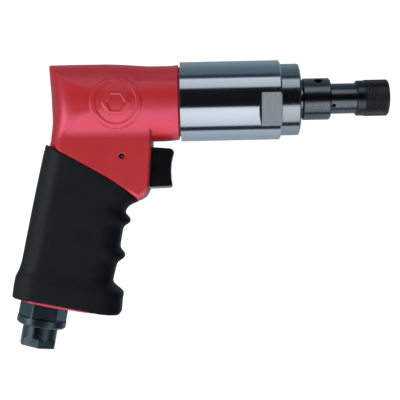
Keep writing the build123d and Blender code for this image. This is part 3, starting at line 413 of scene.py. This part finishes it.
# ---------------------------------------------------------------- materials
def material(name, color, rough, metallic=0.0, coat=0.0, coat_rough=0.1, spec=0.5, bump=None, rough_noise=None, tint=None, wear=None, aniso=None):
    """Principled material with procedural bump, roughness variation, colour mottling and edge wear."""
    m = bpy.data.materials.new(name)
    m.use_nodes = True
    nt = m.node_tree
    b = nt.nodes["Principled BSDF"]
    b.inputs["Base Color"].default_value = (*color, 1)
    b.inputs["Roughness"].default_value = rough
    b.inputs["Metallic"].default_value = metallic
    b.inputs["Coat Weight"].default_value = coat
    b.inputs["Coat Roughness"].default_value = coat_rough
    b.inputs["Specular IOR Level"].default_value = spec
    coord = nt.nodes.new("ShaderNodeTexCoord")
    new = nt.nodes.new

    def noise(scale, stretch=(1, 1, 1), detail=4.0):
        mp = new("ShaderNodeMapping")
        mp.inputs["Scale"].default_value = stretch
        nt.links.new(coord.outputs["Object"], mp.inputs["Vector"])
        n = new("ShaderNodeTexNoise")
        n.inputs["Scale"].default_value = scale
        n.inputs["Detail"].default_value = detail
        nt.links.new(mp.outputs["Vector"], n.inputs["Vector"])
        return n.outputs["Fac"]

    def ramp(fac, lo, hi, a, c):
        r = new("ShaderNodeMapRange")
        r.inputs["From Min"].default_value, r.inputs["From Max"].default_value = lo, hi
        r.inputs["To Min"].default_value, r.inputs["To Max"].default_value = a, c
        nt.links.new(fac, r.inputs["Value"])
        return r.outputs["Result"]

    if rough_noise:
        scale, stretch, amount = rough_noise
        nt.links.new(ramp(noise(scale, stretch), 0.3, 0.7, rough - amount, rough + amount), b.inputs["Roughness"])
    color_out = None
    if tint:
        scale, other = tint
        mix = new("ShaderNodeMix")
        mix.data_type = "RGBA"
        mix.inputs[6].default_value = (*color, 1)
        mix.inputs[7].default_value = (*other, 1)
        nt.links.new(ramp(noise(scale), 0.35, 0.65, 0, 1), mix.inputs[0])
        color_out = mix.outputs[2]
    if wear:
        amount, other = wear
        geo = new("ShaderNodeNewGeometry")
        mask = new("ShaderNodeMath")
        mask.operation = "MULTIPLY"
        nt.links.new(ramp(geo.outputs["Pointiness"], 0.53, 0.60, 0, amount), mask.inputs[0])
        nt.links.new(ramp(noise(900.0), 0.42, 0.6, 0, 1), mask.inputs[1])
        mix = new("ShaderNodeMix")
        mix.data_type = "RGBA"
        if color_out is None:
            mix.inputs[6].default_value = (*color, 1)
        else:
            nt.links.new(color_out, mix.inputs[6])
        mix.inputs[7].default_value = (*other, 1)
        nt.links.new(mask.outputs[0], mix.inputs[0])
        color_out = mix.outputs[2]
    if color_out is not None:
        nt.links.new(color_out, b.inputs["Base Color"])
    if bump:
        last = None
        for scale, stretch, strength, dist in bump:
            bn = new("ShaderNodeBump")
            bn.inputs["Strength"].default_value = strength
            bn.inputs["Distance"].default_value = dist
            nt.links.new(noise(scale, stretch, 6.0), bn.inputs["Height"])
            if last is not None:
                nt.links.new(last.outputs["Normal"], bn.inputs["Normal"])
            last = bn
        nt.links.new(last.outputs["Normal"], b.inputs["Normal"])
    return m


ONE = (1, 1, 1)
AROUND = (60, 1, 1)          # lines that run round the spindle axis
red = material("red_enamel", (0.525, 0.0165, 0.0088), 0.40, coat=0.12, coat_rough=0.18, spec=0.95, bump=[(420, ONE, 0.05, 0.0004), (90, ONE, 0.04, 0.0015)],
               rough_noise=(150, ONE, 0.04), tint=(60, (0.50, 0.0145, 0.0075)))
red.node_tree.nodes["Principled BSDF"].inputs["Specular Tint"].default_value = (1.0, 0.55, 0.85, 1)
black_rubber = material("moulded_rubber", (0.0046, 0.0062, 0.0076), 0.60, spec=0.19, bump=[(2600, ONE, 0.25, 0.00012), (260, ONE, 0.08, 0.0005)],
                        rough_noise=(220, ONE, 0.06), tint=(70, (0.0066, 0.0084, 0.0098)))
oring = material("nitrile", (0.012, 0.012, 0.012), 0.4, bump=[(800, ONE, 0.1, 0.0002)], rough_noise=(300, ONE, 0.05))
steel = material("polished_steel", (0.72, 0.74, 0.77), 0.11, metallic=1, bump=[(40, AROUND, 0.02, 0.0001)], rough_noise=(55, AROUND, 0.035),
                 tint=(25, (0.67, 0.69, 0.73)))
cap_steel = material("ground_steel", (0.50, 0.53, 0.53), 0.15, metallic=1, bump=[(40, AROUND, 0.03, 0.0001)], rough_noise=(55, AROUND, 0.04),
                     tint=(25, (0.46, 0.49, 0.50)))
milled = material("milled_flat", (0.38, 0.385, 0.40), 0.34, metallic=1, bump=[(30, (60, 1, 1), 0.6, 0.0004)], rough_noise=(55, AROUND, 0.06),
                  tint=(45, (0.33, 0.335, 0.35)))
machined = material("machined_steel", (0.46, 0.46, 0.48), 0.28, metallic=1, bump=[(40, AROUND, 0.08, 0.0002)], rough_noise=(80, AROUND, 0.06))
oxide = material("black_oxide", (0.175, 0.195, 0.205), 0.24, metallic=1, bump=[(40, AROUND, 0.015, 0.0001), (700, ONE, 0.03, 0.0001)],
                 rough_noise=(120, AROUND, 0.02), tint=(90, (0.15, 0.16, 0.175)), wear=(0.35, (0.35, 0.36, 0.37)))
oxide_dark = material("black_oxide_knurl", (0.085, 0.090, 0.096), 0.32, metallic=1, bump=[(700, ONE, 0.08, 0.0002)], rough_noise=(160, ONE, 0.06),
                      wear=(0.3, (0.22, 0.225, 0.23)))
oxide_fit = material("black_oxide_fitting", (0.110, 0.145, 0.165), 0.30, metallic=1, bump=[(500, ONE, 0.08, 0.0002)], rough_noise=(160, ONE, 0.06),
                     tint=(120, (0.13, 0.165, 0.185)), wear=(0.35, (0.3, 0.32, 0.33)))
trigger_black = material("trigger_black", (0.0060, 0.0072, 0.0070), 0.32, spec=0.3, bump=[(900, ONE, 0.06, 0.0002)], rough_noise=(200, ONE, 0.06))
bronze = material("bronze", (0.50, 0.33, 0.14), 0.32, metallic=1, bump=[(500, ONE, 0.08, 0.0002)], rough_noise=(150, ONE, 0.06))
resin = material("resin", (0.05, 0.04, 0.03), 0.5, bump=[(800, ONE, 0.1, 0.0002)], rough_noise=(200, ONE, 0.06))

by_slot = {"red_paint": red, "grip_rubber": black_rubber, "seal_rubber": oring, "blued_steel": oxide, "polished_steel": steel,
           "machined_steel": machined, "bronze": bronze, "vane_composite": resin}


def paint(o, m):
    o.data.materials.clear()
    o.data.materials.append(m)
    o.data.polygons.foreach_set("material_index", [0] * len(o.data.polygons))


for n, o in nodes.items():
    paint(o, by_slot[slot_of[n]])
paint(shell, red)
paint(rubber, black_rubber)
paint(button, trigger_black)
paint(sleeve, oxide_dark)
for o in coils:
    paint(o, machined)
paint(nodes["inlet_bushing"], oxide_fit)
paint(nodes["front_cap"], cap_steel)

# the two milled wrench flats have their own finish; the wall at the rear end of each flat gets a dark colour, which is
# painted shade
hm = nodes["clutch_housing"].data
hm.materials.append(milled)
# dark steel colour for the flats' rear walls: painted shade, not a different finish
hm.materials.append(material("milled_run_out_painted_shade", (0.10, 0.105, 0.115), 0.42, metallic=1, bump=[(30, (60, 1, 1), 0.4, 0.0003)], rough_noise=(55, AROUND, 0.05)))
dn = np.array([0, -math.cos(FLAT_CLOCK), -math.sin(FLAT_CLOCK)])
for f in hm.polygons:
    n, c = np.array(f.normal), np.array(f.center) * 1000
    if abs(abs(n @ dn) - 1) < 1e-3 and abs(abs(c @ dn) - FLAT_D) < 0.02:
        f.material_index = 1
    # rear wall of each flat: painted shade, the same steel made darker where the wall lies in shadow
    elif 42 < c[0] < 45 and abs(n[0]) > 0.3 and np.hypot(c[1], c[2]) > 20:
        f.material_index = 2


# shading normals: a face that belongs to a surface turned about the spindle axis takes the exact normal there
def turned(n, tol=9.0):
    me = nodes[n].data
    nl = len(me.loops)
    co = np.empty(len(me.vertices) * 3, np.float32)
    me.vertices.foreach_get("co", co)
    co = co.reshape(-1, 3).astype(float)
    vi = np.empty(nl, np.int32)
    me.loops.foreach_get("vertex_index", vi)
    fn = np.empty(len(me.polygons) * 3, np.float32)
    me.polygons.foreach_get("normal", fn)
    fn = fn.reshape(-1, 3).astype(float)
    tot = np.empty(len(me.polygons), np.int32)
    me.polygons.foreach_get("loop_total", tot)
    poly = np.repeat(np.arange(len(me.polygons)), tot)
    p, f = co[vi], fn[poly]
    rad = np.maximum(np.hypot(p[:, 1], p[:, 2]), 1e-9)
    ey, ez = p[:, 1] / rad, p[:, 2] / rad
    fr = np.hypot(f[:, 1], f[:, 2])
    dot = (f[:, 1] * ey + f[:, 2] * ez) / np.maximum(fr, 1e-9)
    # every corner of the face has to agree
    good = (fr > 0.05) & (np.abs(dot) > math.cos(math.radians(tol)))
    allgood = np.ones(len(me.polygons), bool)
    np.logical_and.at(allgood, poly, good)
    good = allgood[poly]
    sgn = np.sign(dot)
    out = f.copy()
    out[good] = np.stack([f[:, 0], sgn * ey * fr, sgn * ez * fr], 1)[good]
    me.polygons.foreach_set("use_smooth", [True] * len(me.polygons))
    me.normals_split_custom_set([tuple(v) for v in out])


def crisp(n, angle=22):
    """Smooth shading that stays sharp at real edges."""
    o = nodes[n]
    me = o.data
    me.polygons.foreach_set("use_smooth", [True] * len(me.polygons))
    if me.has_custom_normals:
        with bpy.context.temp_override(object=o, active_object=o, selected_objects=[o]):
            bpy.ops.mesh.customdata_custom_splitnormals_clear()
    w = o.modifiers.new("weld", "WELD")
    w.merge_threshold = 1e-6
    e = o.modifiers.new("edges", "EDGE_SPLIT")
    e.split_angle = math.radians(angle)


TURNED = ["clutch_housing", "front_cap", "chuck_body", "output_spindle", "spindle_bush", "spindle_seal", "clutch_adjusting_nut", "chuck_retaining_ring"]
for n in nodes:
    if not nodes[n].hide_render:
        if n in TURNED:
            turned(n)
        else:
            crisp(n)

# ---------------------------------------------------------------- set: white sweep, studio surroundings, lamps
def emission(name, color, strength):
    m = bpy.data.materials.new(name)
    m.use_nodes = True
    nt = m.node_tree
    nt.nodes.clear()
    e = nt.nodes.new("ShaderNodeEmission")
    e.inputs["Color"].default_value = (*color, 1)
    e.inputs["Strength"].default_value = strength
    out = nt.nodes.new("ShaderNodeOutputMaterial")
    nt.links.new(e.outputs[0], out.inputs["Surface"])
    return m


FLOOR_Z = (lo0.z - 0.0002)
bm_pts, faces = [], []
arc = [(-3.0, 0.0)] + [(1.2 + 0.6 * math.sin(t), 0.6 - 0.6 * math.cos(t)) for t in np.linspace(0, math.pi / 2, 12)] + [(1.8, 3.0)]
for i, (yy, zz) in enumerate(arc):
    bm_pts += [(-4000, yy * 1000, zz * 1000 + FLOOR_Z * 1000), (4000, yy * 1000, zz * 1000 + FLOOR_Z * 1000)]
    if i:
        faces.append([2 * i - 2, 2 * i - 1, 2 * i + 1, 2 * i])
sweep = mesh_object("floor_sweep", bm_pts, faces)
fm = bpy.data.materials.new("paper_white")
fm.use_nodes = True
nt = fm.node_tree
pb = nt.nodes["Principled BSDF"]
pb.inputs["Base Color"].default_value = (0.3, 0.3, 0.3, 1)
pb.inputs["Roughness"].default_value = 0.9
pb.inputs["Emission Color"].default_value = (1, 1, 1, 1)
pb.inputs["Emission Strength"].default_value = 1.0
sweep.data.materials.append(fm)
sweep.visible_glossy = False
sweep.visible_diffuse = False

# surroundings seen in the metal: bands by angle round the X axis
world = bpy.data.worlds.new("studio")
bpy.context.scene.world = world
world.use_nodes = True
nt = world.node_tree
nt.nodes.clear()
new = nt.nodes.new
tc = new("ShaderNodeTexCoord")
sep = new("ShaderNodeSeparateXYZ")
nt.links.new(tc.outputs["Generated"], sep.inputs[0])
neg = new("ShaderNodeMath")
neg.operation = "MULTIPLY"
neg.inputs[1].default_value = -1
nt.links.new(sep.outputs["Y"], neg.inputs[0])
at = new("ShaderNodeMath")
at.operation = "ARCTAN2"
nt.links.new(sep.outputs["Z"], at.inputs[0])
nt.links.new(neg.outputs[0], at.inputs[1])
mr = new("ShaderNodeMapRange")
mr.inputs["From Min"].default_value, mr.inputs["From Max"].default_value = -math.pi, math.pi
nt.links.new(at.outputs[0], mr.inputs["Value"])
cr = new("ShaderNodeValToRGB")
nt.links.new(mr.outputs["Result"], cr.inputs["Fac"])
stops = [(-180, (0.30, 0.36, 0.42)), (-130, (0.38, 0.46, 0.54)), (-101, (0.50, 0.58, 0.66)), (-97, (0.02, 0.03, 0.05)), (-84, (0.02, 0.03, 0.05)),
         (-80, (0.66, 0.76, 0.84)), (-60, (0.84, 0.92, 0.98)), (-38, (0.95, 1.02, 1.08)), (-26, (0.86, 0.94, 1.02)), (-22, (0.010, 0.010, 0.013)),
         (31, (0.010, 0.010, 0.013)), (35, (0.58, 0.66, 0.72)), (50, (0.66, 0.74, 0.80)), (61, (0.75, 0.84, 0.92)), (65, (0.03, 0.045, 0.06)),
         (74, (0.03, 0.045, 0.06)), (79, (0.10, 0.15, 0.19)), (100, (0.13, 0.19, 0.23)), (130, (0.24, 0.31, 0.36)), (180, (0.26, 0.33, 0.38))]
el = cr.color_ramp.elements
while len(el) > 1:
    el.remove(el[-1])
for i, (deg, c) in enumerate(stops):
    e = el[0] if i == 0 else el.new((deg + 180) / 360)
    e.position = (deg + 180) / 360
    e.color = (*c, 1)
bg = new("ShaderNodeBackground")
bg.inputs["Strength"].default_value = 1.0
side = new("ShaderNodeMapRange")        # darker towards the right-hand end
side.inputs["From Min"].default_value, side.inputs["From Max"].default_value = 0.65, 0.9
side.inputs["To Min"].default_value, side.inputs["To Max"].default_value = 1.0, 0.12
nt.links.new(sep.outputs["X"], side.inputs["Value"])
nt.links.new(side.outputs["Result"], bg.inputs["Strength"])
nt.links.new(cr.outputs["Color"], bg.inputs["Color"])
wo = new("ShaderNodeOutputWorld")
white = new("ShaderNodeBackground")
path = new("ShaderNodeLightPath")
both = new("ShaderNodeMixShader")
nt.links.new(path.outputs["Is Camera Ray"], both.inputs[0])
nt.links.new(bg.outputs[0], both.inputs[1])
nt.links.new(white.outputs[0], both.inputs[2])
nt.links.new(both.outputs[0], wo.inputs["Surface"])
white.inputs["Color"].default_value = (1, 1, 1, 1)


def area(name, pos, aim, size, power, color=(1, 1, 1), glossy=True):
    d = bpy.data.lights.new(name, "AREA")
    d.shape = "RECTANGLE"
    d.size, d.size_y = size
    d.energy = power
    d.color = color
    o = bpy.data.objects.new(name, d)
    o.location = pos
    o.rotation_euler = (Vector(aim) - Vector(pos)).to_track_quat("-Z", "Y").to_euler()
    o.visible_glossy = glossy
    bpy.context.scene.collection.objects.link(o)
    return o


area("top_soft", (0.0, -0.35, 0.75), (0, 0, 0), (1.2, 0.35), 3.2, glossy=False)
area("front_fill", (0.1, -1.3, -0.45), (0, 0, -0.05), (1.4, 1.0), 11.0, glossy=False)
area("back_fill", (0.1, 1.0, -0.45), (0, 0, -0.05), (1.4, 1.0), 6.0, glossy=False)


def linked(o, name, receivers):
    """Limits a lamp to the listed pieces."""
    c = bpy.data.collections.new(name)
    for r in receivers:
        c.objects.link(r)
    o.light_linking.receiver_collection = c


linked(area("left_strip", (-0.75, -0.42, -0.08), (-0.04, 0, -0.04), (0.16, 0.9), 7.0), "lit_by_strip", [rubber])
linked(area("left_tail", (-0.72, -0.46, -0.16), (-0.06, 0, -0.01), (0.20, 0.50), 2.6, (1.0, 0.72, 0.82)), "lit_by_tail", [shell])
linked(area("left_card", (-0.64, -0.42, -0.15), (-0.08, 0, -0.13), (0.40, 0.42), 0.55, (0.85, 1.0, 1.0)), "lit_by_card", [nodes["inlet_bushing"]])


def softbox(name, elevation, height, radiance, color, receivers):
    """Lamp seen only as a highlight, at an angle above the spindle axis."""
    a, d = math.radians(elevation), 0.9
    size = (2.4, height)
    o = area(name, (-0.03, -d * math.cos(a), d * math.sin(a)), (-0.03, 0, 0), size, radiance * math.pi * size[0] * size[1], color)
    o.visible_diffuse = False
    linked(o, "lit_by_" + name, receivers)


softbox("low_softbox", -66, 1.6, 3.1, (0.92, 0.54, 0.74), [shell])
softbox("high_softbox", 72, 0.5, 0.4, (0.70, 0.6, 1.0), [shell])
softbox("edge_softbox", -80, 1.5, 9.0, (0.9, 0.97, 1.0), [button])

# ---------------------------------------------------------------- camera
cam = bpy.data.cameras.new("camera")
cam.lens = 84.86
cam.sensor_width = 36.0
cam.clip_end = 20
co = bpy.data.objects.new("camera", cam)
bpy.context.scene.collection.objects.link(co)
co.matrix_world = Matrix.Translation((0.0097, -0.532, -0.0555)) @ Euler((math.radians(90), 0, 0)).to_matrix().to_4x4() @ Matrix.Rotation(math.radians(-1.25), 4, "Z")
bpy.context.scene.camera = co
bpy.context.scene.view_settings.view_transform = "Standard"
